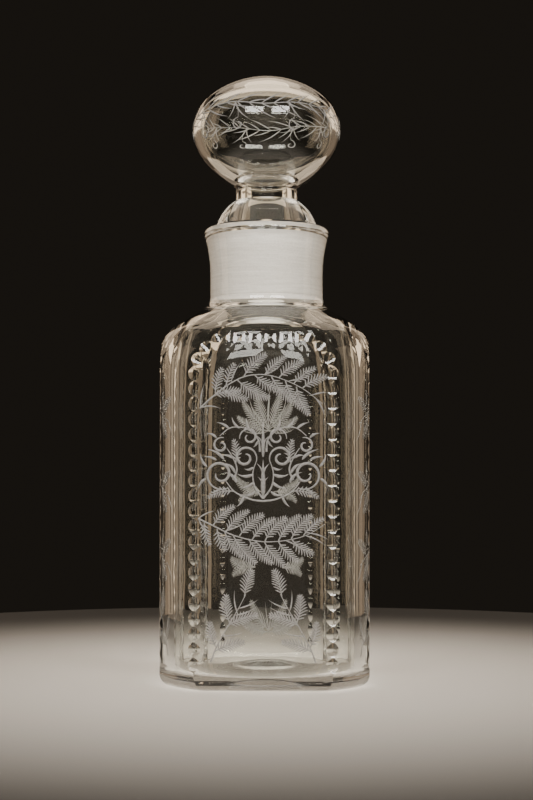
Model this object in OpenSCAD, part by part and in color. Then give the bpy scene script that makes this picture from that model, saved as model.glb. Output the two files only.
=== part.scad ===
// Stoppered toilet-water bottle in clear glass: a round-shouldered blank slabbed flat on four sides,
// with notched edges round each flat face, a flared collar with a ground tapered seat, and a hollow
// blown globe stopper whose plug is ground to the same taper.
// The bottle stands on the XY plane with its axis on Z. All sizes are in millimetres.

/* [Body] */
// Width across two opposite flat faces
body_w = 67; // [56:0.5:82]
// How far each rounded corner stands out beyond the distance of the flat faces
corner_proud = 6.5; // [5:0.1:8]
// Height of the straight walls, up to where the shoulder starts to turn in
wall_h = 100.2; // [60:0.1:140]
// Radius of the shoulder's rounding
shoulder_r = 18.5; // [16:0.1:22]
// Slope of the upper shoulder above the horizontal, in degrees
shoulder_slope = 31; // [28:1:36]
// How far above the shoulder's start each flat face ends, under a facet ground across the shoulder
facet_rise = 10.8; // [9:0.1:12.5]
// Slope of those facets above the horizontal, in degrees
facet_slope = 52; // [48:1:56]
// Thickness of the walls
wall = 3; // [2:0.1:4.2]
// Radius of the inside's upright corners
inner_corner_r = 12; // [6:0.5:20]
// Thickness of the floor
floor_t = 4.2; // [3:0.1:6]
// Radius of the heel under each rounded corner
heel_r = 5; // [2:0.1:6]
// Bevel along the bottom of each flat face
foot_bevel = 2.6; // [0.4:0.1:3.5]

/* [Polished pontil] */
// Diameter of the ground hollow under the base
pontil_d = 22.6; // [16:0.2:30]
// Depth of that hollow
pontil_depth = 1.2; // [0.5:0.1:2]

/* [Notches] */
// Height above the base at which the rows of notches start
notch_start = 6; // [4:0.5:20]
// Pitch of the notches along the edge
notch_pitch = 4.8; // [3.6:0.1:6]
// Depth of a notch in the upright edges of the front and back faces
notch_depth = 0.65; // [0.4:0.05:0.9]
// Depth of a notch in the upright edges of the two side faces
flank_depth = 0.25; // [0.2:0.05:0.9]
// Depth of a notch at the top of each face's arch
arch_depth = 0.6; // [0.4:0.05:1.3]

/* [Neck and seat] */
// Diameter of the ground seat at its top
seat_d = 29.2; // [24:0.1:36]
// Length of the ground seat
seat_len = 23.6; // [17:0.1:28]
// How far the seat's foot lies below the foot of the neck
seat_drop = 2.2; // [1:0.1:3]
// Taper of the ground joint: change of diameter over length
seat_taper = 0.1; // [0.05:0.01:0.15]
// Thickness of the neck at its thinnest, beside the top of the seat
neck_wall = 4.1; // [3.4:0.1:6]
// Radius of the fillet between neck and shoulder
neck_fillet = 5; // [3:0.1:7]
// How far the rim stands out beyond the neck
rim_flare = 2; // [1:0.1:3]
// Length of the flare, up to the rounded lip
flare_h = 14; // [8:0.5:18]
// How far the seat's top lies below the rim
lip_h = 1.8; // [1.4:0.1:4]
// How far the mouth opens out above the seat
mouth_flare = 2.8; // [2:0.1:3.4]
// Rounding of the rim's outer edge
lip_r = 2.2; // [1:0.1:2.6]

/* [Stopper] */
// Radial gap left in the ground joint
joint_gap = 0.15; // [0.1:0.01:0.3]
// Gap between the bell and the mouth
bell_gap = 0.8; // [0.5:0.1:1.5]
// How far the bell's widest line lies above the rim
bell_lift = 0.8; // [0.4:0.1:1.6]
// Height of the bell above the rim
bell_h = 9.1; // [7:0.1:12]
// How far the bell's side bulges out from a straight line
bell_bulge = 1; // [0.4:0.1:2]
// Diameter of the waist
waist_d = 20.4; // [16:0.1:24]
// Length of the straight part of the waist
waist_h = 3.2; // [2:0.1:7]
// Radius of the fillet between waist and globe
waist_fillet = 2.2; // [1.6:0.1:5]
// Diameter of the globe
globe_d = 49; // [42:0.1:60]
// Height of the globe above its widest line
globe_up = 18; // [17:0.1:21.5]
// Depth of the globe below its widest line
globe_down = 21; // [19:0.1:24]
// Radius of the globe's side above its widest line, seen in section
globe_side_r = 15; // [12:0.1:16]
// Radius of its side below that line
globe_low_side_r = 16.5; // [14:0.1:17.5]
// Thickness of the globe's wall
globe_wall = 2; // [1.4:0.1:2.6]
// Extra thickness under the globe, where it gathers into the waist
globe_gather = 1.6; // [0.5:0.1:2.5]
// Diameter of the hollow through the waist
hollow_d = 13; // [10:0.1:14.4]
// Diameter of the hollow in the plug, which it widens to below the waist
plug_hollow_d = 18; // [14.5:0.1:20]
// Length over which it widens
hollow_flare_h = 14; // [8:0.5:20]
// Bevel round the open end of the plug
plug_bevel = 0.6; // [0.3:0.1:1]

/* [Hidden] */

far = 200;
fine = 96;
// How far one shape runs into the next, so that the two join
lap = 0.5;
glass_colour = "lightcyan";

// Body: half widths, and the shoulder's round in section
face_r = body_w / 2;
corner_r = face_r + corner_proud;
round_r = corner_r - shoulder_r;
edge_x = sqrt(corner_r * corner_r - face_r * face_r);

// Neck: radii of the seat, the wall round it and the mouth
seat_r = seat_d / 2;
neck_r = seat_r + neck_wall;
rim_r = neck_r + rim_flare;
mouth_r = seat_r + mouth_flare;
mouth_bevel = 0.4;

// The shoulder's straight slope starts at slope_start, and the fillet joins it to the neck
slope_dir = [sin(shoulder_slope), cos(shoulder_slope)];
slope_start = [round_r, wall_h] + shoulder_r * slope_dir;
function fillet_z(neck, fillet, offset) =
    (slope_start * slope_dir - offset + fillet - slope_dir[0] * (neck + fillet)) / slope_dir[1];
neck_z = fillet_z(neck_r, neck_fillet, 0);

// The facets meet the cone of the upper shoulder at facet_end, short of the neck's fillet
facet_z = wall_h + facet_rise;
facet_end = (facet_z - slope_start[1] + face_r * tan(facet_slope) - slope_start[0] * tan(shoulder_slope))
    / (tan(facet_slope) - tan(shoulder_slope));
facet_dir = [sin(facet_slope), cos(facet_slope)];
facet_cut = 5;

// Levels up the neck
seat_z = neck_z - seat_drop;
seat_top = seat_z + seat_len;
rim_z = seat_top + lip_h;
seat_end_r = seat_r - seat_len * seat_taper / 2;
function seat_r_at(z) = seat_r - (seat_top - z) * seat_taper / 2;

// Where the inside's own fillet runs into the seat
inner_fillet = neck_fillet + 1;
seat_foot = fillet_z(seat_end_r, inner_fillet, wall) - lap;

// Stopper: levels and radii
bell_r = mouth_r - bell_gap;
bell_z = rim_z + bell_lift;
waist_r = waist_d / 2;
waist_z = rim_z + bell_h;
hollow_r = hollow_d / 2;
plug_hollow_r = plug_hollow_d / 2;

// Notch rows: half the arch's length comes from a table of length against the section's angle. A notch's
// wheel overlaps its neighbours by notch_lap of the pitch on each side, and reaches right across the edge.
notch_lap = 0.02;
wheel_w = 9;
function arch_x(t) = edge_x * cos(t);
function arch_z(t) = min(facet_z,
    wall_h + sqrt(pow(shoulder_r, 2) - pow(norm([face_r, arch_x(t)]) - round_r, 2)));
function arch_gap(i) = norm([arch_x(i + 1) - arch_x(i), arch_z(i + 1) - arch_z(i)]);
arch_table = [for (i = 0, s = 0; i <= 90; s = s + arch_gap(i), i = i + 1) [s, i]];
arch_len = arch_table[90][0];
side_len = wall_h - notch_start;
row_len = 2 * (side_len + arch_len);
notch_count = floor(row_len / notch_pitch);
notch_gap = row_len / notch_count;

// A point on a face's edge, at length s along it from the foot of the left edge. The face looks along -Y.
function half_row(s) = s < side_len
    ? [edge_x, notch_start + s]
    : let (t = lookup(s - side_len, arch_table)) [arch_x(t), arch_z(t)];
function row_point(s) = s < row_len / 2
    ? let (p = half_row(s)) [-p[0], -face_r, p[1]]
    : let (p = half_row(row_len - s)) [p[0], -face_r, p[1]];
// Which way the blank's own surface, or the facet, faces at a point of that edge
function blank_normal(p) = p[2] >= facet_z ? [0, -facet_dir[0], facet_dir[1]] : let (
        r = norm([p[0], p[1]]),
        out = p[2] <= wall_h ? 1 : (r - round_r) / shoulder_r,
        up = sqrt(max(0, 1 - out * out))
    ) [out * p[0] / r, out * p[1] / r, up];
function unit(v) = v / norm(v);

// A wheel-cut scallop across the edge at length s along the row, low_depth deep on the upright stretch
module notch(s, low_depth) {
    p = row_point(s);
    n = unit(blank_normal(p) + [0, -1, 0]);
    along = unit(cross([0, -1, 0], blank_normal(p)));
    across = cross(along, n);
    height = max(0, p[2] - wall_h) / (arch_z(90) - wall_h);
    depth = low_depth + (arch_depth - low_depth) * height;
    wheel_r = (pow(notch_gap * (0.5 + notch_lap), 2) + depth * depth) / (2 * depth);
    translate(p + (wheel_r - depth) * n)
        rotate([0, acos(across[2]), atan2(across[1], across[0])])
            cylinder(h = wheel_w, r = wheel_r, center = true, $fn = fine);
}

module notch_row(low_depth) {
    for (i = [0:notch_count - 1]) notch((i + 0.5) * notch_gap, low_depth);
}

// Half-section of the blank with its walls moved in by inset: straight side, rounded shoulder, slope and
// the fillet into a neck of radius neck
module blank_section(foot, inset, neck, fillet) {
    zf = fillet_z(neck, fillet, inset);
    corner = [neck, (slope_start * slope_dir - inset - slope_dir[0] * neck) / slope_dir[1]];
    centre = [neck + fillet, zf];
    tangent = centre - fillet * slope_dir;
    turn = slope_start - inset * slope_dir;
    polygon([[0, foot], [corner_r - inset, foot], [corner_r - inset, wall_h], [round_r, wall_h],
        turn, corner, [neck, zf], [0, zf]]);
    intersection() {
        translate([round_r, wall_h]) circle(r = shoulder_r - inset, $fn = fine);
        square(far);
    }
    difference() {
        polygon([[0, tangent[1]], tangent, centre, [neck, zf], [0, zf]]);
        translate(centre) circle(r = fillet, $fn = fine);
    }
}

// Half-section of the collar: a straight neck, a hollow curve out to the rim, and a rounded lip
module collar_section() {
    flare_z = rim_z - lip_r - flare_h;
    flare_r = (flare_h * flare_h + rim_flare * rim_flare) / (2 * rim_flare);
    translate([0, neck_z - lap]) square([neck_r, rim_z - lip_r - neck_z + lap]);
    difference() {
        translate([0, flare_z]) square([rim_r, flare_h]);
        translate([neck_r + flare_r, flare_z]) circle(r = flare_r, $fn = 4 * fine);
    }
    translate([0, rim_z - lip_r]) square([rim_r - lip_r, lip_r]);
    translate([rim_r - lip_r, rim_z - lip_r]) circle(r = lip_r, $fn = fine);
}

// The blank's rounded heel, cut away from a plain corner
module heel_section() {
    difference() {
        translate([corner_r - heel_r, -1]) square([heel_r + 1, heel_r + 1]);
        translate([corner_r - heel_r, heel_r]) circle(r = heel_r, $fn = fine);
    }
}

// The four slabbed faces as a square prism, bevelled round its foot
module slabbed_faces() {
    difference() {
        translate([-face_r, -face_r, 0]) cube([body_w, body_w, far]);
        for (a = [0:90:270]) rotate(a) translate([face_r, 0, 0]) rotate([0, 45, 0])
            cube([foot_bevel * sqrt(2), body_w + 2, foot_bevel * sqrt(2)], center = true);
    }
}

// What the wheel takes off the shoulder above each face, moved in by inset
module facet_cutters(inset) {
    fillet_start = neck_r + neck_fillet * (1 - slope_dir[0]);
    ends = [face_r + facet_cut, (facet_end + fillet_start) / 2];
    line = [for (r = ends) [r, facet_z + (face_r - r) * tan(facet_slope)]];
    for (a = [0:90:270]) rotate(a) rotate([90, 0, 0]) linear_extrude(far, center = true)
        polygon([line[0] - inset * facet_dir, line[1] - inset * facet_dir,
            line[1] + facet_cut * facet_dir, line[0] + facet_cut * facet_dir]);
}

// The inside's outline from above: a square with rounded corners
module inside_plan() {
    half = face_r - wall;
    flat = half - inner_corner_r;
    square([2 * half, 2 * flat], center = true);
    square([2 * flat, 2 * half], center = true);
    for (x = [-flat, flat], y = [-flat, flat]) translate([x, y]) circle(r = inner_corner_r, $fn = fine);
}

module inside() {
    difference() {
        intersection() {
            rotate_extrude($fn = fine) blank_section(floor_t, wall, seat_end_r, inner_fillet);
            linear_extrude(far) inside_plan();
        }
        facet_cutters(wall);
    }
    // The ground seat, and the mouth opening out above it
    rotate_extrude($fn = fine) polygon([[0, seat_foot], [seat_r_at(seat_foot), seat_foot],
        [seat_r, seat_top], [mouth_r, rim_z - mouth_bevel], [mouth_r + mouth_bevel, rim_z],
        [mouth_r + mouth_bevel, rim_z + 1], [0, rim_z + 1]]);
}

// A shallow ground hollow that takes away the mark of the blower's iron
module pontil_hollow() {
    ball_r = (pow(pontil_d / 2, 2) + pow(pontil_depth, 2)) / (2 * pontil_depth);
    translate([0, 0, pontil_depth - ball_r]) sphere(r = ball_r, $fn = 2 * fine);
}

module bottle() {
    color(glass_colour)
        difference() {
            intersection() {
                rotate_extrude($fn = fine) difference() {
                    union() {
                        blank_section(0, 0, neck_r, neck_fillet);
                        collar_section();
                    }
                    heel_section();
                }
                slabbed_faces();
            }
            facet_cutters(0);
            inside();
            pontil_hollow();
            for (a = [0, 180]) rotate(a) notch_row(notch_depth);
            for (a = [90, 270]) rotate(a) notch_row(flank_depth);
        }
}

// Radius of the arc that caps an oval of half width half and height rise beyond a side arc of radius side
function cap_r(half, rise, side) =
    (pow(half - side, 2) + rise * rise - side * side) / (2 * (rise - side));

// A sector of a cap's circle, between the axis and the centre of the side arc
module cap_sector(half, rise, side, up) {
    r = cap_r(half, rise, side);
    low = rise - r;
    reach = unit([half - side, -low]) * 3 * r;
    scale([1, up]) intersection() {
        translate([0, low]) circle(r = r, $fn = 2 * fine);
        polygon([[0, low], [reach[0], low + reach[1]], [0, low + 3 * r]]);
    }
}

// The side of a globe above its widest line, or below it where up is -1
module globe_side(half, side, up) {
    scale([1, up]) intersection() {
        translate([half - side, 0]) circle(r = side, $fn = fine);
        square(far);
    }
}

// Half-section of a globe on a stem: a cap and a side arc above the widest line, another pair below it, and
// a fillet into the stem. z0 is the stem's foot, and the globe is centred at zc.
module globe_section(half, rise, drop, side, low_side, stem, z0, zc, fillet) {
    r = cap_r(half, drop, low_side);
    cap_z = zc - drop + r;
    fz = cap_z - sqrt(pow(r + fillet, 2) - pow(stem + fillet, 2));
    centre = [stem + fillet, fz];
    touch = [0, cap_z] + (centre - [0, cap_z]) * r / (r + fillet);
    translate([0, zc]) {
        globe_side(half, side, 1);
        globe_side(half, low_side, -1);
        cap_sector(half, rise, side, 1);
        cap_sector(half, drop, low_side, -1);
    }
    translate([0, z0]) square([stem, fz - z0]);
    difference() {
        polygon([[0, fz - lap], [stem, fz - lap], [stem, fz], centre, touch, [0, touch[1] + lap]]);
        translate(centre) circle(r = fillet, $fn = fine);
    }
}

// The globe's height follows from the waist: its lower cap meets the waist's fillet
globe_r = globe_d / 2;
lower_cap_r = cap_r(globe_r, globe_down, globe_low_side_r);
globe_z = waist_z + waist_h + globe_down - lower_cap_r
    + sqrt(pow(lower_cap_r + waist_fillet, 2) - pow(waist_r + waist_fillet, 2));

// Half-section of the plug and bell below the waist
module plug_section() {
    end_r = seat_end_r - joint_gap;
    top_r = seat_r - joint_gap;
    chord = [waist_r - bell_r, waist_z - bell_z];
    half = norm(chord) / 2;
    arc_r = (half * half + bell_bulge * bell_bulge) / (2 * bell_bulge);
    middle = [bell_r, bell_z] + chord / 2;
    centre = middle - unit([chord[1], -chord[0]]) * (arc_r - bell_bulge);
    polygon([[0, seat_z], [end_r - plug_bevel, seat_z], [end_r, seat_z + plug_bevel], [top_r, seat_top],
        [bell_r, bell_z], [waist_r, waist_z], [0, waist_z]]);
    intersection() {
        translate(centre) circle(r = arc_r, $fn = 2 * fine);
        polygon([[0, bell_z], [2 * bell_r, bell_z], [2 * bell_r, waist_z], [0, waist_z]]);
    }
}

module stopper() {
    color(glass_colour)
        rotate_extrude($fn = fine) difference() {
            union() {
                plug_section();
                globe_section(globe_r, globe_up, globe_down, globe_side_r, globe_low_side_r,
                    waist_r, waist_z - lap, globe_z, waist_fillet);
            }
            globe_section(globe_r - globe_wall, globe_up - globe_wall,
                globe_down - globe_wall - globe_gather,
                globe_side_r - globe_wall, globe_low_side_r - globe_wall,
                hollow_r, seat_z - lap, globe_z, waist_fillet);
            polygon([[0, seat_z - lap], [plug_hollow_r, seat_z - lap],
                [plug_hollow_r, waist_z - hollow_flare_h], [hollow_r, waist_z], [0, waist_z]]);
        }
}

bottle();
stopper();
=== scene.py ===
"""Looks of a stoppered toilet-water bottle in clear cut and engraved glass.

Sizes are in millimetres until a mesh is made, and metres after it. The bottle stands on z = 0 with its axis
on Z, and its front face looks along -Y.
"""
import math

import bpy
from mathutils import Matrix, Vector


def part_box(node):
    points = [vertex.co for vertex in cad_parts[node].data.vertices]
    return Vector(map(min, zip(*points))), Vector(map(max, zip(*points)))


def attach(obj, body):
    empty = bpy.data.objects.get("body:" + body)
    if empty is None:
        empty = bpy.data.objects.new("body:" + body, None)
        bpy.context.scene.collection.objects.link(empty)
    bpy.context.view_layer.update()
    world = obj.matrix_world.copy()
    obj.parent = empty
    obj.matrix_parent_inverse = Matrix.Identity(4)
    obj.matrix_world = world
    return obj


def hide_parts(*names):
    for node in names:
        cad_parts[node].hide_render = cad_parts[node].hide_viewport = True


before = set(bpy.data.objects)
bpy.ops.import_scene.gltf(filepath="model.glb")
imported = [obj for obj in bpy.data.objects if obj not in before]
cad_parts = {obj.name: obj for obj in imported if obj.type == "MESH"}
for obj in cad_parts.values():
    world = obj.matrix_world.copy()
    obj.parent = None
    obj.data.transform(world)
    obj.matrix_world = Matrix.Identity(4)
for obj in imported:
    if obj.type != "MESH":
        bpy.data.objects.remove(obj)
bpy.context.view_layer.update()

MM = 0.001

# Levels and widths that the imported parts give
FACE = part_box("bottle")[1].x / MM
RIM_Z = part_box("bottle")[1].z / MM
SEAT_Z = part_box("stopper")[0].z / MM
GLOBE_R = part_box("stopper")[1].x / MM
TOP_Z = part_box("stopper")[1].z / MM

# Blank of the bottle: its corners stand proud of the four flat faces
CORNER_R = FACE + 6.5
SHOULDER_R = 18.5
ROUND_R = CORNER_R - SHOULDER_R
WALL_H = 100.2
SLOPE = math.radians(31)
FACET_Z = WALL_H + 10.8
FACET_SLOPE = math.radians(52)
FACET_END = 24.6
HEEL_R = 5.0
FOOT_R = 4.4
PONTIL_R = 11.3
PONTIL_DEPTH = 1.2

# Neck, seat and mouth
SEAT_R = 14.6
SEAT_LEN = 23.6
SEAT_TAPER = 0.1
SEAT_TOP = SEAT_Z + SEAT_LEN
SEAT_END_R = SEAT_R - SEAT_LEN * SEAT_TAPER / 2
NECK_R = SEAT_R + 4.1
NECK_FILLET = 5.0
INNER_FILLET = NECK_FILLET + 1
RIM_R = NECK_R + 2.0
FLARE_H = 14.0
LIP_R = 2.2
MOUTH_R = SEAT_R + 2.8

# Inside of the bottle
WALL = 3.0
FLOOR = 4.2
KICK = 2.2
VAULT_Z = 100.0
VAULT_R = 44.0

# Wheel-cut notches round each face
NOTCH_START = 6.0
NOTCH_PITCH = 4.8
FRONT_NOTCH = 0.65
FLANK_NOTCH = 0.25
ARCH_NOTCH = 0.6

# Stopper
GAP = 0.15
BELL_R = MOUTH_R - 0.8
BELL_Z = RIM_Z + 0.8
BELL_TOP = RIM_Z + 9.1
BELL_BULGE = 1.0
WAIST_R = 10.2
WAIST_FILLET = 2.2
GLOBE_UP = 18.0
GLOBE_DOWN = 21.0
GLOBE_SIDE = 15.0
GLOBE_LOW_SIDE = 16.5
GLOBE_Z = TOP_Z - GLOBE_UP
GLOBE_WALL = 2.4
GATHER = 1.4
CROWN = 0.5
HOLLOW_R = 6.5
PLUG_HOLLOW_R = 9.0
INNER_WAIST_FILLET = 4.0

ROUND_STEPS = 240


# ---------------------------------------------------------------- outlines

def arc(centre, radius, start, end, steps):
    """Points along an arc from one angle to another, in degrees."""
    turns = [math.radians(start + (end - start) * i / steps) for i in range(steps + 1)]
    return [(centre[0] + radius * math.cos(t), centre[1] + radius * math.sin(t)) for t in turns]


def angle_of(point, centre):
    return math.degrees(math.atan2(point[1] - centre[1], point[0] - centre[0]))


def line(start, end, steps):
    """Points from start up to, but not on, end."""
    return [tuple(a + (b - a) * i / steps for a, b in zip(start, end)) for i in range(steps)]


def slope_fillet(neck, fillet, inset):
    """Where the shoulder's slope, moved in by inset, meets the fillet into a neck: centre and touch."""
    sine, cosine = math.sin(SLOPE), math.cos(SLOPE)
    along = (ROUND_R + SHOULDER_R * sine) * sine + (WALL_H + SHOULDER_R * cosine) * cosine
    centre_r = neck + fillet
    centre = (centre_r, (along - inset + fillet - sine * centre_r) / cosine)
    return centre, (centre[0] - fillet * sine, centre[1] - fillet * cosine)


def shoulder_outline(neck, fillet, inset):
    """The round shoulder, its slope and the fillet up into the neck."""
    centre, touch = slope_fillet(neck, fillet, inset)
    slope_angle = 90 - math.degrees(SLOPE)
    rounding = arc((ROUND_R, WALL_H), SHOULDER_R - inset, 0, slope_angle, 22)
    return rounding[:-1] + line(rounding[-1], touch, 6) + arc(centre, fillet, slope_angle - 180, -180, 14)


def blank_outline():
    """Outside of the bottle, from the middle of its foot to the middle of its top."""
    ball = (PONTIL_R ** 2 + PONTIL_DEPTH ** 2) / (2 * PONTIL_DEPTH)
    spread = math.degrees(math.asin(PONTIL_R / ball))
    points = arc((0, PONTIL_DEPTH - ball), ball, 90, 90 - spread, 10)
    points += line((PONTIL_R + 0.3, 0), (CORNER_R - HEEL_R, 0), 4)
    points += arc((CORNER_R - HEEL_R, HEEL_R), HEEL_R, -90, 0, 12)
    points += line((CORNER_R, HEEL_R + 1), (CORNER_R, WALL_H), 6)
    points += shoulder_outline(NECK_R, NECK_FILLET, 0)
    flare_r = (FLARE_H ** 2 + (RIM_R - NECK_R) ** 2) / (2 * (RIM_R - NECK_R))
    reach = math.degrees(math.asin(FLARE_H / flare_r))
    points += arc((NECK_R + flare_r, RIM_Z - LIP_R - FLARE_H), flare_r, 180, 180 - reach, 24)
    points += arc((RIM_R - LIP_R, RIM_Z - LIP_R), LIP_R, 0, 90, 12)
    return points + [(0, RIM_Z)]


def inside_outline():
    """The hollow, from the middle of its floor, with a low kick, to a point above the mouth."""
    floor_r = CORNER_R - WALL - 5
    points = [(r, FLOOR + KICK * math.exp(-(r / 13) ** 2)) for r in (floor_r * i / 24 for i in range(24))]
    points += arc((floor_r, FLOOR + 5), 5, -90, 0, 12)
    points += line((CORNER_R - WALL, FLOOR + 6), (CORNER_R - WALL, WALL_H - 1), 40)
    points += shoulder_outline(SEAT_END_R, INNER_FILLET, WALL)
    points += [(SEAT_END_R + 0.2, points[-1][1] + 0.1), (SEAT_R, SEAT_TOP)]
    points += arc((SEAT_R + 1.2, SEAT_TOP), 1.2, 180, 118, 6)[1:]
    points += arc((MOUTH_R + 0.3, RIM_Z - 1.2), 1.2, 120, 90, 5)
    return points + [(MOUTH_R + 0.3, RIM_Z + 1), (0, RIM_Z + 1)]


def cap_radius(half, rise, side):
    return ((half - side) ** 2 + rise ** 2 - side ** 2) / (2 * (rise - side))


def globe_outline(half, rise, drop, side, low_side, stem, fillet):
    """A globe on a stem, from the fillet's foot up to the top of the globe."""
    low_r, high_r = cap_radius(half, drop, low_side), cap_radius(half, rise, side)
    low, high = (0, GLOBE_Z - drop + low_r), (0, GLOBE_Z + rise - high_r)
    low_middle, middle = (half - low_side, GLOBE_Z), (half - side, GLOBE_Z)
    foot_r = stem + fillet
    foot = (foot_r, low[1] - math.sqrt((low_r + fillet) ** 2 - foot_r ** 2))
    low_start, low_end = angle_of(foot, low), angle_of(low_middle, low)
    high_start = angle_of(middle, high)
    points = arc(foot, fillet, 180, low_start + 180, 12)[:-1]
    points += arc(low, low_r, low_start, low_end, 22)[:-1]
    points += arc(low_middle, low_side, low_end, 0, 14)[:-1]
    points += arc(middle, side, 0, high_start, 12)[:-1]
    return points + arc(high, high_r, high_start, 90, 26)


def bell_outline():
    """The bell's bulging side, from its foot to the waist."""
    chord = Vector((WAIST_R - BELL_R, BELL_TOP - BELL_Z))
    radius = ((chord.length / 2) ** 2 + BELL_BULGE ** 2) / (2 * BELL_BULGE)
    outward = Vector((chord.y, -chord.x)).normalized()
    centre = Vector((BELL_R, BELL_Z)) + chord / 2 - outward * (radius - BELL_BULGE)
    start, end = angle_of((BELL_R, BELL_Z), centre), angle_of((WAIST_R, BELL_TOP), centre)
    return arc(centre, radius, start, end, 16)


def globe_outside():
    return globe_outline(GLOBE_R, GLOBE_UP, GLOBE_DOWN, GLOBE_SIDE, GLOBE_LOW_SIDE, WAIST_R, WAIST_FILLET)


def globe_inside():
    """The blown hollow of the globe, which leaves more glass at its crown and above the waist."""
    return globe_outline(GLOBE_R - GLOBE_WALL, GLOBE_UP - GLOBE_WALL - CROWN,
                         GLOBE_DOWN - GLOBE_WALL - GATHER, GLOBE_SIDE - GLOBE_WALL - 1,
                         GLOBE_LOW_SIDE - GLOBE_WALL, HOLLOW_R, INNER_WAIST_FILLET)


def stopper_outline():
    """The whole wall of the stopper in one closed line: up the outside, over the globe, down the hollow."""
    end_r, top_r = SEAT_END_R - GAP, SEAT_R - GAP
    outside = arc((end_r - 0.6, SEAT_Z + 0.6), 0.6, -90, 0, 5)
    outside += [(top_r, SEAT_TOP)]
    outside += arc((top_r + 1.6, SEAT_TOP + 0.3), 1.6, 178, 135, 6)
    outside += bell_outline()
    outside += globe_outside()
    flare = [(HOLLOW_R + (PLUG_HOLLOW_R - HOLLOW_R) * (1 - math.cos(math.pi * i / 16)) / 2,
              BELL_TOP + 1 - 15 * i / 16) for i in range(17)]
    mouth = [(PLUG_HOLLOW_R, SEAT_Z + 0.5), (PLUG_HOLLOW_R + 0.5, SEAT_Z)]
    return outside, globe_inside()[::-1] + flare + mouth


# ---------------------------------------------------------------- shaping tools

def only(piece):
    """Selects one object and makes it active."""
    bpy.ops.object.select_all(action="DESELECT")
    piece.select_set(True)
    bpy.context.view_layer.objects.active = piece


def turned(name, points, closed):
    """Turns an outline round the axis into a closed skin."""
    mesh = bpy.data.meshes.new(name)
    edges = [(i, i + 1) for i in range(len(points) - 1)]
    if closed:
        edges.append((len(points) - 1, 0))
    mesh.from_pydata([(r * MM, 0, z * MM) for r, z in points], edges, [])
    piece = bpy.data.objects.new(name, mesh)
    bpy.context.scene.collection.objects.link(piece)
    only(piece)
    bpy.ops.object.mode_set(mode="EDIT")
    bpy.ops.mesh.select_all(action="SELECT")
    bpy.ops.mesh.spin(steps=ROUND_STEPS, angle=math.tau, center=(0, 0, 0), axis=(0, 0, 1))
    bpy.ops.mesh.select_all(action="SELECT")
    bpy.ops.mesh.remove_doubles(threshold=2e-6)
    bpy.ops.mesh.dissolve_degenerate(threshold=1e-6)
    bpy.ops.mesh.normals_make_consistent(inside=False)
    bpy.ops.object.mode_set(mode="OBJECT")
    return piece


def slab_off(piece, point, direction):
    """Grinds away all that lies beyond a plane and closes the cut."""
    only(piece)
    bpy.ops.object.mode_set(mode="EDIT")
    bpy.ops.mesh.select_all(action="SELECT")
    bpy.ops.mesh.bisect(plane_co=point, plane_no=direction, use_fill=True, clear_outer=True, threshold=1e-6)
    bpy.ops.object.mode_set(mode="OBJECT")


def cut_away(piece, cutter):
    """Takes cutter out of piece, and removes the cutter."""
    only(piece)
    cut = piece.modifiers.new("cut", "BOOLEAN")
    cut.operation = "DIFFERENCE"
    cut.solver = "MANIFOLD"
    cut.object = cutter
    bpy.ops.object.modifier_apply(modifier=cut.name)
    bpy.data.objects.remove(cutter)


def smooth(piece, angle):
    only(piece)
    bpy.ops.object.shade_smooth_by_angle(angle=math.radians(angle), keep_sharp_edges=False)


# ---------------------------------------------------------------- bottle

def soften_inside(hollow):
    """Squares the turned hollow, with full corners and a vault under each shoulder, as blowing leaves it."""
    for vertex in hollow.data.vertices:
        x, y, z = (c / MM for c in vertex.co)
        radius = math.hypot(x, y)
        if radius < 0.01 or z > SEAT_Z - 2:
            continue
        rise = min(max(z - VAULT_Z, 0), VAULT_R * 0.8)
        half = FACE - WALL - VAULT_R + math.sqrt(VAULT_R ** 2 - rise ** 2)
        power = 4.2 - 1.1 * min(max((z - 90) / 18, 0), 1)
        square = half / (abs(x / radius) ** power + abs(y / radius) ** power) ** (1 / power)
        fade = min(max((SEAT_Z - 2 - z) / 4, 0), 1)
        kept = radius * (1 + (radius / square) ** 12) ** (-1 / 12)
        scale = 1 + (kept / radius - 1) * fade
        vertex.co.x *= scale
        vertex.co.y *= scale


def arch_point(turn):
    """A point of the arch where the flat face meets the round shoulder, for a section angle in degrees."""
    edge = math.sqrt(CORNER_R ** 2 - FACE ** 2)
    x = edge * math.cos(math.radians(turn))
    out = math.hypot(FACE, x) - ROUND_R
    return x, min(FACET_Z, WALL_H + math.sqrt(max(SHOULDER_R ** 2 - out ** 2, 0)))


def face_edge():
    """Points along the edge of the front face, from the foot of its left side over the arch."""
    edge = math.sqrt(CORNER_R ** 2 - FACE ** 2)
    half = [(edge, NOTCH_START)] + [arch_point(turn) for turn in range(0, 91)]
    return [(-x, z) for x, z in half] + [(x, z) for x, z in half[-2::-1]]


def along_line(points, distance):
    """The point at a distance along a broken line."""
    for a, b in zip(points, points[1:]):
        step = math.dist(a, b)
        if distance <= step:
            share = distance / step
            return tuple(p + (q - p) * share for p, q in zip(a, b))
        distance -= step
    return points[-1]


def length_of(points):
    return sum(math.dist(a, b) for a, b in zip(points, points[1:]))


def blank_normal(x, y, z):
    """Which way the blank's own round surface, or the facet over the front face, faces."""
    if z >= FACET_Z:
        return Vector((0, -math.sin(FACET_SLOPE), math.cos(FACET_SLOPE)))
    radius = math.hypot(x, y)
    out = 1 if z <= WALL_H else (radius - ROUND_R) / SHOULDER_R
    return Vector((out * x / radius, out * y / radius, math.sqrt(max(0, 1 - out * out))))


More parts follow.
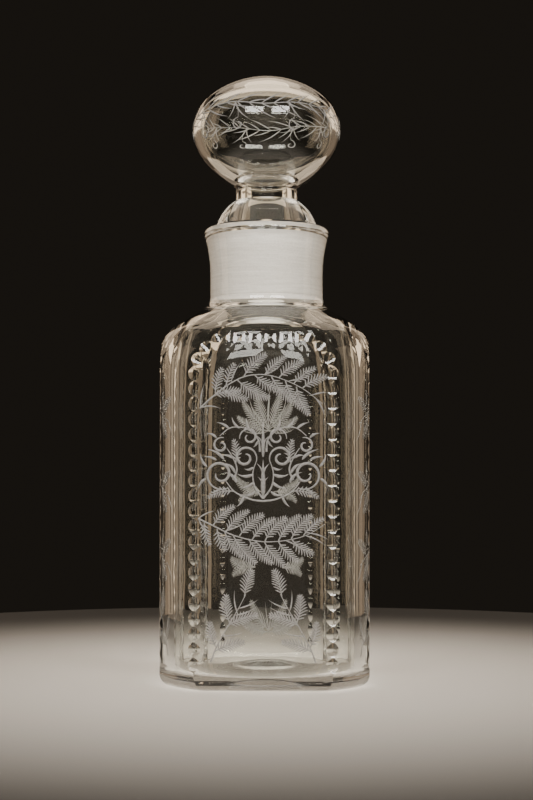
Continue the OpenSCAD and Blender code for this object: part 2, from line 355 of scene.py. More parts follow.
def notch_wheel(edge, distance, gap, low_depth):
    """The cutting wheel where it has just made one scallop across the edge of the front face."""
    x, z = along_line(edge, distance)
    point = Vector((x, -FACE, z))
    away = blank_normal(x, -FACE, z)
    normal = (away + Vector((0, -1, 0))).normalized()
    along = Vector((0, -1, 0)).cross(away).normalized()
    across = along.cross(normal)
    height = max(0, z - WALL_H) / (arch_point(90)[1] - WALL_H)
    depth = low_depth + (ARCH_NOTCH - low_depth) * height
    wheel_r = ((gap * 0.52) ** 2 + depth ** 2) / (2 * depth)
    turn = Matrix((along, normal, across)).transposed().to_4x4()
    return Matrix.Translation(point + (wheel_r - depth) * normal) @ turn @ Matrix.Diagonal(
        (wheel_r, wheel_r, 4.5, 1))


def notch_wheels(first):
    """Every second wheel of the rows round all four faces, starting from the first one given."""
    bpy.ops.object.select_all(action="DESELECT")
    bpy.ops.mesh.primitive_cylinder_add(vertices=96, radius=1, depth=2, location=(0, 0, 0))
    pattern = bpy.context.active_object
    edge = face_edge()
    count = int(length_of(edge) / NOTCH_PITCH)
    gap = length_of(edge) / count
    wheels = []
    for quarter in range(4):
        turn = Matrix.Diagonal((MM, MM, MM, 1)) @ Matrix.Rotation(quarter * math.pi / 2, 4, "Z")
        low_depth = FLANK_NOTCH if quarter % 2 else FRONT_NOTCH
        for i in range(first, count, 2):
            wheel = bpy.data.objects.new("wheel", pattern.data.copy())
            wheel.data.transform(turn @ notch_wheel(edge, (i + 0.5) * gap, gap, low_depth))
            bpy.context.scene.collection.objects.link(wheel)
            wheels.append(wheel)
    bpy.data.objects.remove(pattern)
    only(wheels[0])
    for wheel in wheels:
        wheel.select_set(True)
    bpy.ops.object.join()
    return wheels[0]


def facet_slab(quarter_turns):
    """What the wheel takes off the shoulder above one flat face, down to a sloping facet."""
    away = Vector((0, -math.sin(FACET_SLOPE), math.cos(FACET_SLOPE)))
    corners = []
    for x in (-60, 60):
        for y in (-FACE - 5, -FACET_END):
            point = Vector((x, y, FACET_Z + (FACE + y) * math.tan(FACET_SLOPE)))
            corners += [point, point + 6 * away]
    mesh = bpy.data.meshes.new("facet_slab")
    turn = Matrix.Rotation(quarter_turns * math.pi / 2, 3, "Z")
    mesh.from_pydata([turn @ corner * MM for corner in corners], [],
                     [(0, 1, 3, 2), (4, 6, 7, 5), (0, 4, 5, 1), (2, 3, 7, 6), (0, 2, 6, 4), (1, 5, 7, 3)])
    slab = bpy.data.objects.new("facet_slab", mesh)
    bpy.context.scene.collection.objects.link(slab)
    only(slab)
    bpy.ops.object.mode_set(mode="EDIT")
    bpy.ops.mesh.select_all(action="SELECT")
    bpy.ops.mesh.normals_make_consistent(inside=False)
    bpy.ops.object.mode_set(mode="OBJECT")
    return slab


def make_bottle():
    bottle = turned("bottle_shell", blank_outline(), closed=False)
    for quarter in range(4):
        turn = Matrix.Rotation(quarter * math.pi / 2, 3, "Z")
        outward = turn @ Vector((1, 0, 0))
        slab_off(bottle, outward * FACE * MM, outward)
        for lean in (22.5, 45, 67.5):
            slope = (outward * math.cos(math.radians(lean)) - Vector((0, 0, math.sin(math.radians(lean)))))
            centre = outward * (FACE - FOOT_R) + Vector((0, 0, FOOT_R))
            slab_off(bottle, (centre + slope * FOOT_R) * MM, slope)
    for quarter in range(4):
        cut_away(bottle, facet_slab(quarter))
    hollow = turned("hollow", inside_outline(), closed=False)
    soften_inside(hollow)
    cut_away(bottle, hollow)
    for first in (0, 1):
        cut_away(bottle, notch_wheels(first))
    smooth(bottle, 14)
    ground = [face for face in bottle.data.polygons if is_seat(face.center, SEAT_R + 0.05)]
    inner = [face for face in bottle.data.polygons if is_inside(face)]
    finish(bottle, "bottle", clear_and_ground(), ground, inner)
    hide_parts("bottle")
    return bottle


def make_stopper():
    outside, hollow = stopper_outline()
    stopper = turned("stopper_shell", outside + hollow, closed=True)
    smooth(stopper, 25)
    ground = [face for face in stopper.data.polygons if is_seat(face.center, SEAT_R) and
              math.hypot(face.center.x, face.center.y) / MM > PLUG_HOLLOW_R + 0.6]
    finish(stopper, "stopper", clear_and_ground(), ground)
    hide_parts("stopper")
    return stopper


def is_inside(face):
    """Whether a face of the bottle looks into its hollow."""
    centre, normal = face.center, face.normal
    if centre.z / MM > SEAT_TOP or centre.z / MM < FLOOR - 0.5:
        return False
    middle = Vector((0, 0, min(max(centre.z, 0.03), 0.09)))
    away = centre - middle
    reach = max(abs(centre.x), abs(centre.y)) / MM
    return away.dot(normal) < 0 and reach < FACE - 1


def clear_and_ground():
    polished = lead_glass("polished_lead_glass", 0.0001)
    return polished, ground_glass(), lead_glass("blown_lead_glass", 0.00018)


def is_seat(point, reach):
    """Whether a face lies on the ground joint."""
    radius = math.hypot(point.x, point.y) / MM
    return SEAT_Z - 0.01 <= point.z / MM <= SEAT_TOP + 0.01 and radius <= reach


def finish(piece, body, materials, second=(), third=()):
    """Gives a piece its materials, the second and third on the faces named, and its body to ride on."""
    piece.data.materials.clear()
    for material in materials:
        piece.data.materials.append(material)
    for face in third:
        face.material_index = 2
    for face in second:
        face.material_index = 1
    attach(piece, body)
    # Clear glass lets its light through, so it casts no plain shadow
    piece.visible_shadow = len(materials) == 1


# ---------------------------------------------------------------- engraving

PLAIN_MATT = ("deep_wheel_engraving", "#777571", "#A19E9A")
# The second matt is a darker copy of the first: painted shade for light lost in the glass walls
SHADED_MATT = ("light_wheel_engraving", "#62605D", "#85827E")


def bend_line(start, end, bend, steps=8):
    """A line from start to end that bows to its left by a share of its length."""
    a, b = Vector(start), Vector(end)
    side = Vector((a.y - b.y, b.x - a.x)) * bend
    shares = [i / steps for i in range(steps + 1)]
    return [tuple(a.lerp(b, share) + side * 4 * share * (1 - share)) for share in shares]


def blade(start, end, bend=0.06, width=0.6):
    """A plain leaf: one stroke that swells and runs out to a point."""
    points = bend_line(start, end, bend)
    last = len(points) - 1
    return [(points, [width * (0.3 + 0.9 * math.sin(math.pi * i / last) ** 0.7) / 2 * (1.15 - i / last)
                      for i in range(last + 1)])]


def stem(points, width=0.55):
    """A stalk that thins towards its tip."""
    last = len(points) - 1
    return [(points, [width / 2 * (1 - 0.65 * i / last) for i in range(last + 1)])]


def fern(start, tip, bend=0.08, spread=3.0, pitch=0.86):
    """A fern leaf: a rib with fine leaflets combed along both sides."""
    rib = bend_line(start, tip, bend, 16)
    length = length_of(rib)
    cuts = stem(rib, 0.5)
    count = int(length * 0.86 / pitch)
    for i in range(count):
        share = 0.12 + 0.84 * i / count
        base = Vector(along_line(rib, share * length))
        ahead = (Vector(along_line(rib, min(share * length + 0.4, length))) - base).normalized()
        reach = 1.2 * spread * (1 - share) ** 0.5 * min(1, 0.4 + share * 2)
        for side in (-1, 1):
            turn = Matrix.Rotation(side * math.radians(56 - 16 * share), 2)
            end = base + turn @ ahead * reach
            cuts.append((bend_line(base, end, -0.07 * side, 4), [0.16, 0.23, 0.25, 0.21, 0.1]))
    return cuts


def scroll(centre, radius, start, turns, width=0.95):
    """A scroll that winds in to its eye, thickest on its outer sweep. Negative turns wind the other way."""
    steps = max(12, int(abs(turns) * 28))
    points, widths = [], []
    for i in range(steps + 1):
        share = i / steps
        angle = math.radians(start) + share * turns * math.tau
        reach = radius * (1 - 0.72 * share)
        points.append((centre[0] + reach * math.cos(angle), centre[1] + reach * math.sin(angle)))
        widths.append(width / 2 * (0.35 + 0.75 * math.sin(math.pi * share) ** 0.8))
    return [(points, widths)]


def mirrored(cuts):
    return [([(-x, z) for x, z in points], widths) for points, widths in cuts]


def stalk(points, steps=6):
    """A smooth line through a few points."""
    curve = []
    padded = [points[0]] + list(points) + [points[-1]]
    for knots in zip(padded, padded[1:], padded[2:], padded[3:]):
        for i in range(steps):
            t = i / steps
            curve.append(tuple(0.5 * (2 * b + (c - a) * t + (2 * a - 5 * b + 4 * c - d) * t * t
                                      + (3 * b - a - 3 * c + d) * t ** 3) for a, b, c, d in zip(*knots)))
    return curve + [points[-1]]


def upper_spray():
    """The arched fern spray at the top of the front face."""
    cuts = stem(stalk([(-19.8, 88.7), (-15, 93), (-10, 96.6), (-5, 98.8), (1, 99.1), (7, 97.4), (13, 94.4),
                       (18.6, 90)]), 0.6)
    cuts += fern((-15, 93.4), (-12.6, 101.6), 0.06, 2.5)
    cuts += fern((-6, 98.7), (1.4, 105.8), 0.08, 3.0)
    cuts += fern((5, 98.2), (13, 103.4), 0.08, 2.8)
    cuts += fern((12.4, 95), (20.4, 98.6), 0.08, 2.6)
    cuts += fern((-15.6, 92.4), (-6.4, 94), 0.08, 2.5)
    cuts += fern((-8, 97.4), (2.4, 91.6), -0.06, 3.2)
    cuts += fern((2.6, 98.6), (9.3, 90.6), -0.06, 2.9)
    cuts += fern((10.4, 95.4), (14.6, 86.2), -0.06, 2.8)
    cuts += fern((-11.6, 95.8), (-8.6, 103), 0.06, 2.3)
    cuts += fern((0.4, 99), (7.4, 105), 0.06, 2.4)
    cuts += fern((9.6, 96.4), (16.8, 101.4), 0.06, 2.4)
    cuts += fern((-12.8, 94.6), (-4.4, 91.4), -0.06, 2.5)
    cuts += fern((-2.6, 99), (5.6, 94), -0.06, 2.6)
    cuts += fern((7, 97.2), (12.2, 88), -0.06, 2.5)
    cuts += blade((-19.6, 89), (-18.2, 96.8))
    cuts += blade((-19.4, 88.8), (-13.2, 88.4), 0.12)
    cuts += blade((-10, 97), (-6.8, 103.2))
    cuts += blade((0.6, 99.2), (6.4, 103), -0.06)
    cuts += blade((8, 97.2), (15.2, 99.2), -0.04)
    cuts += blade((15.4, 92.8), (20.6, 93.6), 0.04)
    cuts += blade((16.6, 91.6), (19.2, 86.4))
    return cuts


def lower_spray():
    """The hanging fern spray under the ornament."""
    cuts = stem(stalk([(-20.4, 54.2), (-15, 51.6), (-10, 49.2), (-4, 47.5), (1.4, 46.9), (8, 47.5),
                       (14, 49.2), (19.2, 52.4)]), 0.6)
    cuts += fern((-15.6, 52), (-8.6, 58.2), 0.08, 2.6)
    cuts += fern((-7.4, 48.7), (0.6, 55.6), 0.08, 2.9)
    cuts += fern((0.6, 47.2), (7.8, 54.8), 0.08, 2.9)
    cuts += fern((8.8, 47.8), (15.8, 55.4), 0.08, 2.9)
    cuts += fern((-18.4, 53), (-16.4, 45.4), -0.08, 2.2)
    cuts += fern((-14.4, 51), (-11.4, 43.8), -0.08, 2.5)
    cuts += fern((-9.4, 49), (-1.8, 39.8), -0.06, 3.2)
    cuts += fern((0.4, 46.9), (7, 39.2), -0.06, 3.0)
    cuts += fern((9, 47.6), (16.2, 43), -0.08, 2.6)
    cuts += fern((-11.6, 50), (-4, 56.8), 0.08, 2.5)
    cuts += fern((-3.4, 47.6), (4.2, 54.4), 0.08, 2.5)
    cuts += fern((4.8, 47.2), (12, 55.4), 0.08, 2.6)
    cuts += fern((12.6, 48.8), (19.4, 54.4), 0.08, 2.3)
    cuts += fern((-12, 50), (-6, 41.8), -0.08, 2.5)
    cuts += fern((-4.6, 47.8), (3.4, 39.8), -0.06, 2.7)
    cuts += fern((4.8, 47), (11.6, 40.6), -0.08, 2.5)
    cuts += blade((-20.2, 54.2), (-15.2, 56.6))
    cuts += blade((-20.2, 54), (-17, 49.4), -0.06)
    cuts += blade((-12, 50.2), (-4.6, 53.6), -0.04)
    cuts += blade((-3, 47.4), (0.8, 42.6), 0.08)
    cuts += blade((7, 47.3), (12, 44.4))
    cuts += blade((14.6, 49.6), (20.4, 47.6))
    cuts += blade((13.4, 48.8), (19.4, 45.8))
    return cuts


def corner_frond():
    """The frond that rises from one lower corner of the front face."""
    cuts = stem(stalk([(-16.4, 9.4), (-14.6, 14), (-11.6, 19.6), (-8, 25.6), (-5.4, 30.6)]), 0.6)
    cuts += fern((-5.8, 29.8), (-3.2, 38.6), 0.05, 3.0)
    cuts += fern((-10.4, 21.6), (-11.4, 30.8), 0.08, 2.9)
    cuts += fern((-11.2, 20.6), (-1.4, 24), 0.08, 2.9)
    cuts += fern((-14.6, 14), (-16.6, 22.4), 0.08, 2.5)
    cuts += fern((-15.2, 12.6), (-5.4, 15.6), 0.08, 2.9)
    cuts += blade((-8.2, 25.2), (-8.9, 31.8))
    cuts += blade((-7.6, 26.2), (-1.6, 28.9), -0.06)
    cuts += blade((-9, 24), (-2, 26.6), -0.06)
    cuts += blade((-12.8, 17.6), (-6.2, 18.8), -0.06)
    return cuts


def scroll_ornament():
    """A two-sided ornament of leafy scrolls about the middle of the front face."""
    half = stem(stalk([(0, 59.6), (-4, 60.2), (-9, 62.6), (-12, 66.4)]), 0.8)
    half += scroll((-13.4, 68), 4.9, -62, -1.35)
    half += stem(stalk([(0, 60.4), (-2.6, 64), (-3.2, 68.4), (-2, 72.4)]), 0.8)
    half += scroll((-5.6, 73.2), 3.7, -20, 1.3)
    half += scroll((-4.4, 79.6), 3.0, 190, -1.15, 0.8)
    half += stem(stalk([(-1, 75), (-1.6, 79), (-5, 82.2), (-10, 82.6), (-13.6, 80)]), 0.8)
    half += scroll((-13.2, 77), 2.6, 70, 1.1, 0.8)
    half += stem(stalk([(-9.4, 66.2), (-8.2, 69.6), (-9.6, 73.4), (-11.4, 76.2)]), 0.8)
    half += fern((-9.2, 62.7), (-17.6, 60.4), -0.1, 2.2)
    half += fern((-8.6, 71.6), (-9.4, 79.2), -0.08, 2.2)
    for start, end, bend, width in (
            ((-12.2, 72.6), (-17.4, 75.8), -0.1, 1.2), ((-14.6, 72.4), (-18.8, 73.4), -0.1, 1.0),
            ((-6, 61), (-8.4, 57.8), 0.1, 1.0), ((-3.2, 68), (-8.2, 68.2), 0.16, 1.3),
            ((-2.9, 65.6), (-7.2, 63.8), 0.14, 1.2), ((-10.6, 82.2), (-14.6, 84.2), -0.1, 1.0),
            ((-2.4, 62.6), (-6.6, 61.8), 0.18, 1.1), ((-3.1, 70.2), (-6, 69.8), 0.2, 1.0),
            ((-8.4, 65.4), (-12.2, 68.6), -0.16, 1.3), ((-8.8, 68.4), (-12.6, 71.4), -0.16, 1.2),
            ((-9.6, 73), (-13, 73.8), -0.14, 1.0), ((-17.6, 70.4), (-19.6, 74.4), 0.12, 1.1),
            ((-17.9, 66.6), (-20.2, 63.4), -0.14, 1.1), ((-13.8, 63.4), (-16.6, 62.2), 0.12, 0.9),
            ((-7.4, 82.4), (-9.8, 86), 0.12, 1.0), ((-4.2, 81.9), (-5.2, 85.6), 0.12, 1.0),
            ((-1.6, 78.4), (-3.2, 76.4), 0.1, 0.9), ((-14.6, 79.4), (-17.8, 80.8), -0.12, 1.0)):
        half += blade(start, end, bend, width)
    middle = blade((0, 61), (0, 72.6), 0.0, 1.7)
    middle += blade((0, 73.4), (0, 84.4), 0.0, 1.3)
    for lean in (-1, 1):
        middle += blade((0, 66), (2.0 * lean, 71.4), 0.14 * lean, 1.1)
        middle += blade((0, 63.4), (1.7 * lean, 67.2), 0.14 * lean, 0.9)
        middle += blade((0, 75.2), (1.9 * lean, 80), 0.14 * lean, 1.0)
    return half + mirrored(half) + middle


def side_sprays():
    """The sprays on each side face: three drooping boughs and a low pair of fronds."""
    cuts = []
    for low in (38, 60, 84):
        cuts += stem(stalk([(-17, low), (-9, low + 4), (0, low + 5.6), (9, low + 4), (17, low)]), 0.6)
        for reach in (-1, 1):
            cuts += fern((4 * reach, low + 5.4), (8.6 * reach, low + 13), 0.06 * reach, 2.9)
            cuts += fern((11 * reach, low + 3.2), (18.4 * reach, low + 8.6), 0.06 * reach, 2.7)
            cuts += fern((3 * reach, low + 5.2), (6.2 * reach, low - 5), 0.06, 2.9)
            cuts += fern((10 * reach, low + 3.6), (14.4 * reach, low - 5), 0.06, 2.7)
            cuts += blade((15 * reach, low + 1.4), (20 * reach, low - 6), 0.08, 0.9)
    return cuts + corner_frond() + mirrored(corner_frond())


def back_sprays():
    """The plainer sprays on the back face: a fan, a pair of wings and a low tuft."""
    fan = blade((0, 84), (0, 98), 0.0, 0.9)
    half = fern((0, 83.6), (-5, 97.6), 0.06, 3.0)
    half += fern((0, 83), (-10.6, 93.6), 0.08, 3.2)
    half += fern((0, 82.6), (-13.4, 87.4), 0.08, 3.0)
    half += blade((0, 83.4), (-8.2, 96.4), 0.1, 0.6)
    half += blade((0, 82.4), (-12.4, 83.6), 0.12, 0.6)
    half += fern((-2, 61), (-14.6, 66.6), 0.12, 3.0)
    half += fern((-2, 61), (-12.4, 57), -0.12, 3.0)
    half += fern((-5.4, 34.6), (-16.6, 38.2), 0.12, 3.2)
    half += fern((-5.4, 34.6), (-15.4, 31.4), -0.12, 3.0)
    half += fern((0, 12.6), (-7.4, 23.6), 0.06, 3.0)
    half += fern((0, 12), (-12.4, 16.8), 0.08, 2.9)
    half += blade((0, 12.6), (-1.2, 22.8), 0.02, 0.6)
    return fan + half + mirrored(half)


def globe_garland():
    """Two long willow sprays round the globe with a daisy at each meeting, laid out flat as (round, up)."""
    cuts = []
    half_way = math.pi * GLOBE_R
    for n in range(2):
        left = (n - 0.5) * half_way
        cuts += garland_spray(left, half_way)
        cuts += daisy(left, 0.4)
    return cuts


def garland_spray(left, reach):
    stalk_line = stalk([(left + 3.4, 0.4), (left + reach * 0.16, 3.8), (left + reach * 0.34, 5.8),
                        (left + reach * 0.5, 4.6), (left + reach * 0.66, 5.4), (left + reach * 0.84, 3.6),
                        (left + reach - 3.6, 0.2)])
    cuts = stem(stalk_line, 0.6)
    length = length_of(stalk_line)
    count = 17
    for i in range(count):
        base = Vector(along_line(stalk_line, length * (i + 0.3) / count))
        ahead = (Vector(along_line(stalk_line, length * (i + 0.5) / count)) - base).normalized()
        for side in (-1, 1):
            leaf = 10.5 if (i + (side > 0)) % 2 else 7.4
            turn = 15 + 8 * ((i * 2 + side) % 3)
            end = base + Matrix.Rotation(side * math.radians(turn), 2) @ ahead * leaf
            cuts += blade(base, end, 0.05 * side, 0.6)
    for share in (0.16, 0.36, 0.62, 0.82):
        foot = Vector(along_line(stalk_line, length * share))
        ring = foot + Vector((1.5, -7.6))
        cuts += stem(bend_line(foot, ring + Vector((0, 2.1)), 0.1), 0.35)
        cuts += scroll(ring, 2.1, 90, 1.0, 0.45)
        cuts += blade(foot, ring + Vector((4.2, 1.2)), -0.1, 0.5)
        cuts += blade(foot, ring + Vector((-4, 1.6)), 0.12, 0.5)
    return cuts


def daisy(u, v):
    """A flower of ten petals round a small eye."""
    cuts = scroll((u, v), 0.7, 0, 1.0, 0.4)
    for petal in range(10):
        angle = petal * math.tau / 10
        direction = Vector((math.cos(angle), math.sin(angle)))
        cuts += blade(Vector((u, v)) + direction * 0.9, Vector((u, v)) + direction * 4.2, 0.0, 1.1)
    return cuts


def engraved(name, cuts):
    """Turns the strokes into shallow lens-shaped grooves' worth of matt glass, lying flat at y = 0."""
    curve = bpy.data.curves.new(name, "CURVE")
    curve.dimensions = "3D"
    curve.bevel_depth = MM
    curve.bevel_resolution = 1
    curve.use_fill_caps = True
    for points, half_widths in cuts:
        spline = curve.splines.new("POLY")
        spline.points.add(len(points) - 1)
        for knot, (x, z), half_width in zip(spline.points, points, half_widths):
            knot.co = (x * MM, 0, z * MM, 1)
            knot.radius = half_width
    piece = bpy.data.objects.new(name, curve)
    bpy.context.scene.collection.objects.link(piece)
    only(piece)
    bpy.ops.object.convert(target="MESH")
    piece = bpy.context.active_object
    piece.data.transform(Matrix.Diagonal((1, 0.3, 1, 1)))
    return piece


def engrave_face(name, cuts, quarter_turns):
    """Lays strokes on one flat face of the bottle, just breaking its surface."""
    piece = engraved(name, cuts)
    turn = Matrix.Rotation(quarter_turns * math.pi / 2, 4, "Z")
    piece.data.transform(turn @ Matrix.Translation((0, -FACE * MM, 0)))
    only(piece)
    bpy.ops.object.shade_smooth()
    # The side and back faces get the darker matt: painted shade for the light lost through the glass walls
    matt = PLAIN_MATT if quarter_turns == 0 else SHADED_MATT
    finish(piece, "bottle", (engraved_glass(*matt),))
    return piece


def engrave_globe():
    """Wraps the garland round the globe, along its own rounded side."""
    piece = engraved("globe_garland", globe_garland())
    outline = globe_outside()
    widest = max(range(len(outline)), key=lambda i: outline[i][0])
    upper, lower = outline[widest:], outline[widest::-1]
    for vertex in piece.data.vertices:
        around, depth, up = vertex.co.x / MM, vertex.co.y / MM, vertex.co.z / MM
        side = upper if up >= 0 else lower
        here, there = (Vector(along_line(side, abs(up) + step)) for step in (0, 0.2))
        slope = (there - here).normalized() * (1 if up >= 0 else -1)
        radius = here.x - depth * slope.y
        angle = around / GLOBE_R - math.pi / 2
        level = here.y + depth * slope.x
        vertex.co = (radius * math.cos(angle) * MM, radius * math.sin(angle) * MM, level * MM)
    only(piece)
    bpy.ops.object.shade_smooth()
    finish(piece, "stopper", (engraved_glass(*PLAIN_MATT),))
    return piece


# ---------------------------------------------------------------- materials

# Lead glass bends light a little more than window glass does
GLASS_IOR = 1.54


def colour(code):
    """An sRGB hex colour as the linear values that a socket takes."""
    shares = [int(code[i:i + 2], 16) / 255 for i in (1, 3, 5)]
    return [c / 12.92 if c <= 0.04045 else ((c + 0.055) / 1.055) ** 2.4 for c in shares] + [1]


def add(tree, kind, settings, links):
    """Adds a node, sets its sockets and properties, and links the outputs given to its inputs."""
    node = tree.nodes.new(kind)
    for name, value in settings.items():
        if name in node.inputs:
            node.inputs[name].default_value = value
        else:
            setattr(node, name, value)
    for name, source in links.items():
        tree.links.new(source, node.inputs[name])
    return node


def new_material(name):
    material = bpy.data.materials.new(name)
    material.use_nodes = True
    tree = material.node_tree
    tree.nodes.clear()
    return material, tree


def lead_glass(name, wave):
    """Blown lead glass. Its waves are faint where a wheel has polished it, and stronger inside, where the
    blown skin is left as it cooled. The foot is scuffed."""
    if name in bpy.data.materials:
        return bpy.data.materials[name]
    material, tree = new_material(name)
    place = add(tree, "ShaderNodeTexCoord", {}, {}).outputs["Object"]
    # Waves about 14 mm long from blowing, and 4 mm ripples from the polishing wheel
    waves = add(tree, "ShaderNodeTexNoise", {"Scale": 70.0, "Detail": 1.0}, {"Vector": place})
    ripples = add(tree, "ShaderNodeTexNoise", {"Scale": 240.0, "Detail": 1.0}, {"Vector": place})
    rippled = add(tree, "ShaderNodeBump", {"Strength": 1.0, "Distance": 0.000008},
                  {"Height": ripples.outputs["Fac"]})
    wavy = add(tree, "ShaderNodeBump", {"Strength": 1.0, "Distance": wave},
               {"Height": waves.outputs["Fac"], "Normal": rippled.outputs["Normal"]})
    # The foot is scuffed for its lowest millimetre
    height = add(tree, "ShaderNodeSeparateXYZ", {}, {"Vector": place})
    scuff = add(tree, "ShaderNodeMapRange",
                {"From Min": 0.0002, "From Max": 0.0012, "To Min": 0.22, "To Max": 0.0},
                {"Value": height.outputs["Z"]})
    shader = add(tree, "ShaderNodeBsdfPrincipled",
                 {"Base Color": colour("#FAFBF7"), "IOR": GLASS_IOR, "Transmission Weight": 1.0},
                 {"Roughness": scuff.outputs["Result"], "Normal": wavy.outputs["Normal"]})
    add(tree, "ShaderNodeOutputMaterial", {}, {"Surface": shader.outputs["BSDF"]})
    return material


def ground_glass():
    """Glass ground with emery and water: a fine white tooth with faint rings from the turning."""
    if "emery_ground_glass" in bpy.data.materials:
        return bpy.data.materials["emery_ground_glass"]
    material, tree = new_material("emery_ground_glass")
    place = add(tree, "ShaderNodeTexCoord", {}, {}).outputs["Object"]
    rings = add(tree, "ShaderNodeMapping", {"Scale": (120, 120, 1800)}, {"Vector": place})
    turning = add(tree, "ShaderNodeTexNoise", {"Scale": 1.0, "Detail": 2.0},
                  {"Vector": rings.outputs["Vector"]})
    # Emery grains of 0.1 mm are drawn 0.4 mm wide so that they show
    grain = add(tree, "ShaderNodeTexNoise", {"Scale": 2500.0, "Detail": 2.0}, {"Vector": place})
    mix = add(tree, "ShaderNodeMix", {"data_type": "FLOAT", "Factor": 0.5},
              {"A": turning.outputs["Fac"], "B": grain.outputs["Fac"]})
    tint = add(tree, "ShaderNodeValToRGB", {}, {"Fac": mix.outputs["Result"]})
    tint.color_ramp.elements[0].position = 0.3
    tint.color_ramp.elements[0].color = colour("#BFBAB2")
    tint.color_ramp.elements[1].position = 0.7
    tint.color_ramp.elements[1].color = colour("#E0DCD5")
    tooth = add(tree, "ShaderNodeBump", {"Strength": 0.5, "Distance": 0.00004},
                {"Height": grain.outputs["Fac"]})
    shader = add(tree, "ShaderNodeBsdfPrincipled",
                 {"IOR": GLASS_IOR, "Roughness": 0.6, "Transmission Weight": 0.15},
                 {"Base Color": tint.outputs["Color"], "Normal": tooth.outputs["Normal"]})
    add(tree, "ShaderNodeOutputMaterial", {}, {"Surface": shader.outputs["BSDF"]})
    return material


def engraved_glass(name, dark, light):
    """Copper-wheel engraving left unpolished: a soft grey matt with the wheel's grain in it. A darker copy
    of it is painted shade, for the light that the glass walls take away from cuts on the side and back
    faces."""
    if name in bpy.data.materials:
        return bpy.data.materials[name]
    material, tree = new_material(name)
    place = add(tree, "ShaderNodeTexCoord", {}, {}).outputs["Object"]
    grain = add(tree, "ShaderNodeTexNoise", {"Scale": 1600.0, "Detail": 2.0}, {"Vector": place})
    tint = add(tree, "ShaderNodeValToRGB", {}, {"Fac": grain.outputs["Fac"]})
    tint.color_ramp.elements[0].position = 0.3
    tint.color_ramp.elements[0].color = colour(dark)
    tint.color_ramp.elements[1].position = 0.75
    tint.color_ramp.elements[1].color = colour(light)
    tooth = add(tree, "ShaderNodeBump", {"Strength": 0.4, "Distance": 0.00003},
                {"Height": grain.outputs["Fac"]})
    shader = add(tree, "ShaderNodeBsdfPrincipled", {"IOR": GLASS_IOR, "Roughness": 0.55},
                 {"Base Color": tint.outputs["Color"], "Normal": tooth.outputs["Normal"]})
    add(tree, "ShaderNodeOutputMaterial", {}, {"Surface": shader.outputs["BSDF"]})
    return material


# ---------------------------------------------------------------- studio

FLOOR_R = 0.26
CAMERA_PLACE = Vector((0.018, -0.570, 0.0756))
CAMERA_AIM = Vector((0, 0, 0.0922))
CAMERA_LENS = 77.2


def aim(piece, place, target):
    piece.location = place
    piece.rotation_euler = (Vector(target) - Vector(place)).to_track_quat("-Z", "Y").to_euler()


def softbox(name, place, target, size, tint, power):
    """A soft rectangular lamp that the camera itself doesn't see."""
    data = bpy.data.lights.new(name, "AREA")
    data.shape = "RECTANGLE"
    data.size, data.size_y = size
    data.color = colour(tint)[:3]
    data.energy = power
    lamp = bpy.data.objects.new(name, data)
    bpy.context.scene.collection.objects.link(lamp)
    aim(lamp, place, target)
    lamp.visible_camera = False
    return lamp


def floor_material():
    """A plain pale board with a painted pool of light: its colour darkens from the middle towards its edge.
    """
    material, tree = new_material("pale_board")
    place = add(tree, "ShaderNodeTexCoord", {}, {}).outputs["Object"]
    reach = add(tree, "ShaderNodeVectorMath", {"operation": "LENGTH"}, {0: place})
    painted_light_pool = add(tree, "ShaderNodeMapRange", {"interpolation_type": "SMOOTHSTEP", "From Min": 0.05,
                                            "From Max": FLOOR_R * 0.9}, {"Value": reach.outputs["Value"]})
    # Painted shade: the pale colour fades to near black away from the middle, in place of light falling off
    tint = add(tree, "ShaderNodeMix", {"data_type": "RGBA"}, {"Factor": painted_light_pool.outputs["Result"]})
    tint.inputs["A"].default_value = colour("#C9C4BC")
    tint.inputs["B"].default_value = colour("#15120F")
    shader = add(tree, "ShaderNodeBsdfPrincipled", {"Roughness": 0.8},
                 {"Base Color": tint.outputs["Result"]})
    add(tree, "ShaderNodeOutputMaterial", {}, {"Surface": shader.outputs["BSDF"]})
    return material


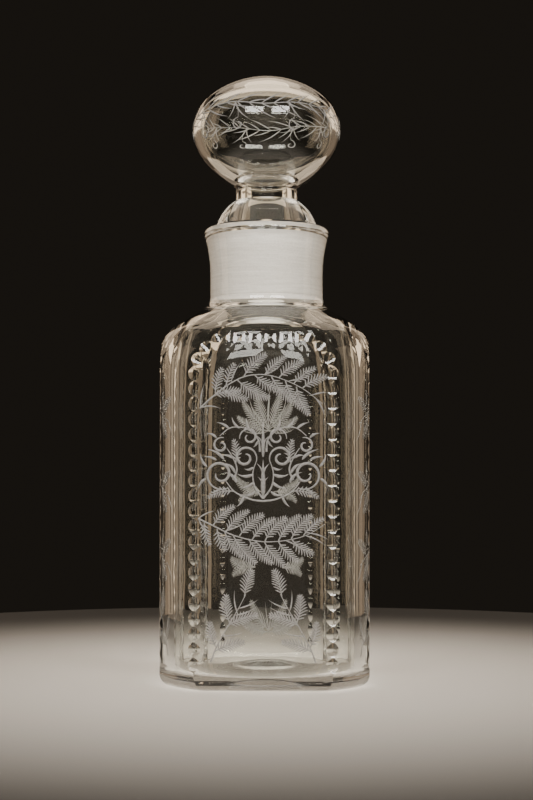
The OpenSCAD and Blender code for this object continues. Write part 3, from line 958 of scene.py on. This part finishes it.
def make_studio():
    bpy.ops.object.select_all(action="DESELECT")
    bpy.ops.mesh.primitive_circle_add(vertices=96, radius=FLOOR_R, fill_type="NGON", location=(0, 0, 0))
    board = bpy.context.active_object
    board.name = "board"
    board.data.materials.append(floor_material())

    world = bpy.data.worlds.new("dim_studio")
    world.use_nodes = True
    world.node_tree.nodes["Background"].inputs["Color"].default_value = colour("#1C1915")
    bpy.context.scene.world = world

    middle = (0, 0, 0.1)
    softbox("left_softbox", (-0.36, -1.05, 0.85), middle, (0.6, 0.34), "#FFFBF6", 14)
    softbox("right_softbox", (0.48, -1.0, 0.85), middle, (0.6, 0.34), "#FFFBF6", 14)
    softbox("room", (0, -1.6, 0.5), middle, (2.4, 1.6), "#FFEAD6", 2)
    for side, share in ((-1, 1.0), (1, 0.75)):
        softbox("warm_side", (side * 0.42, 0.5, 0.22), middle, (0.44, 0.7), "#FFDCB8", 0.24 * share)
        softbox("globe_side", (side * 0.42, 0.5, 0.38), middle, (0.44, 0.22), "#FFE2C0", 0.45)
        softbox("warm_side", (side * 0.6, 0.24, 0.22), middle, (0.12, 0.7), "#FFE2C0", 0.08 * share)
        softbox("warm_side", (side * 0.65, 0.02, 0.22), middle, (0.22, 0.7), "#FFE2C0", 0.6 * share)
    softbox("warm_top", (0, 0.5, 0.86), middle, (0.9, 0.36), "#FFE6C8", 1.8)
    softbox("warm_crown", (0, 0.65, 0.64), middle, (0.6, 0.2), "#FFE6C8", 0.35)
    softbox("warm_low", (0, 0.8, -0.27), middle, (1.0, 0.4), "#FFE6C8", 1.0)

    camera = bpy.data.objects.new("camera", bpy.data.cameras.new("camera"))
    bpy.context.scene.collection.objects.link(camera)
    camera.data.lens = CAMERA_LENS
    aim(camera, CAMERA_PLACE, CAMERA_AIM)
    bpy.context.scene.camera = camera


make_bottle()
make_stopper()
engrave_face("front_engraving", upper_spray() + scroll_ornament() + lower_spray() + corner_frond()
             + mirrored(corner_frond()), 0)
engrave_face("right_engraving", side_sprays(), 1)
engrave_face("back_engraving", back_sprays(), 2)
engrave_face("left_engraving", side_sprays(), 3)
engrave_globe()
make_studio()
